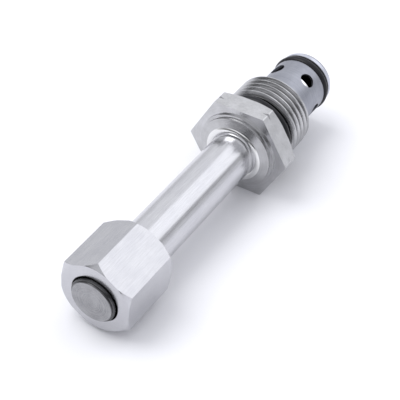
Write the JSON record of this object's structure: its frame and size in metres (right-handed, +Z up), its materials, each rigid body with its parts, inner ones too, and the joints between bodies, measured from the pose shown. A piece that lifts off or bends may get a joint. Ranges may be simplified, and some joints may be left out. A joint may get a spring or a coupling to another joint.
{
  "type": "cartridge valve",
  "caption": "Screw-in solenoid cartridge valve without its coil: hexagon body, external thread, ported cage and long coil tube.",
  "frame": {"origin": "centre of the hexagon's seating face, on the valve's axis", "axes": "+X along the valve's axis towards the ported nose, -X towards the coil nut, +Z up, square to a flat of the body hexagon"},
  "size_m": [0.1039, 0.0292, 0.0254],
  "materials": {
    "zinc_steel": "zinc plated, turned, satin",
    "stainless": "ground stainless tube, satin with fine axial lines",
    "nut_steel": "zinc plated bar with turned ends",
    "cage_steel": "fine matte machined steel",
    "core_steel": "turned magnetic steel",
    "hard_steel": "hardened and ground",
    "braze": "smooth bright braze",
    "spring_steel": "drawn wire",
    "brass": "turned brass",
    "black_rubber": "smooth moulded rubber, slightly oily",
    "backup_plastic": "filled PTFE"
  },
  "bodies": {
    "valve_body": {"adapter_body": "zinc_steel", "guide_tube": "stainless", "braze_ring": "braze", "pole_piece": "core_steel", "air_gap_shim": "brass", "cage": "cage_steel", "valve_seat": "hard_steel", "face_oring": "black_rubber", "nose_oring": "black_rubber", "nose_backup_ring": "backup_plastic", "armature_spring": "spring_steel", "poppet_spring": "spring_steel"},
    "armature_group": {"armature": "core_steel", "pilot_spring": "spring_steel", "pin_guide_bush": "brass", "pilot_pin": "hard_steel"},
    "poppet_group": {"main_poppet": "hard_steel", "poppet_seal_ring": "backup_plastic", "pin_snap_ring": "spring_steel", "bleed_orifice": "brass", "bleed_screen": "stainless"},
    "nut_carriage": {"nut_seal": "black_rubber"},
    "nut_turning": {"coil_nut": "nut_steel"}
  },
  "joints": [
    {"name": "armature_slide", "type": "slide", "parent": "valve_body", "child": "armature_group", "axis": [-1, 0, 0], "range_m": [0, 0.0024], "deforming": ["armature_spring"]},
    {"name": "poppet_slide", "type": "slide", "parent": "valve_body", "child": "poppet_group", "axis": [-1, 0, 0], "range_m": [0, 0.0018], "deforming": ["poppet_spring"]},
    {"name": "coil_nut_lead", "type": "slide", "parent": "valve_body", "child": "nut_carriage", "axis": [-1, 0, 0], "range_m": [0, 0.00889]},
    {"name": "coil_nut_turn", "type": "hinge", "parent": "nut_carriage", "child": "nut_turning", "pos_m": [-0.061, 0, 0], "axis": [-1, 0, 0], "range_deg": [0, 2520]}
  ],
  "couplings": [
    {"joint": "poppet_slide", "follows": "armature_slide", "ratio": 0.75},
    {"joint": "coil_nut_lead", "follows": "coil_nut_turn", "m_per_rad": 0.00020212}
  ]
}
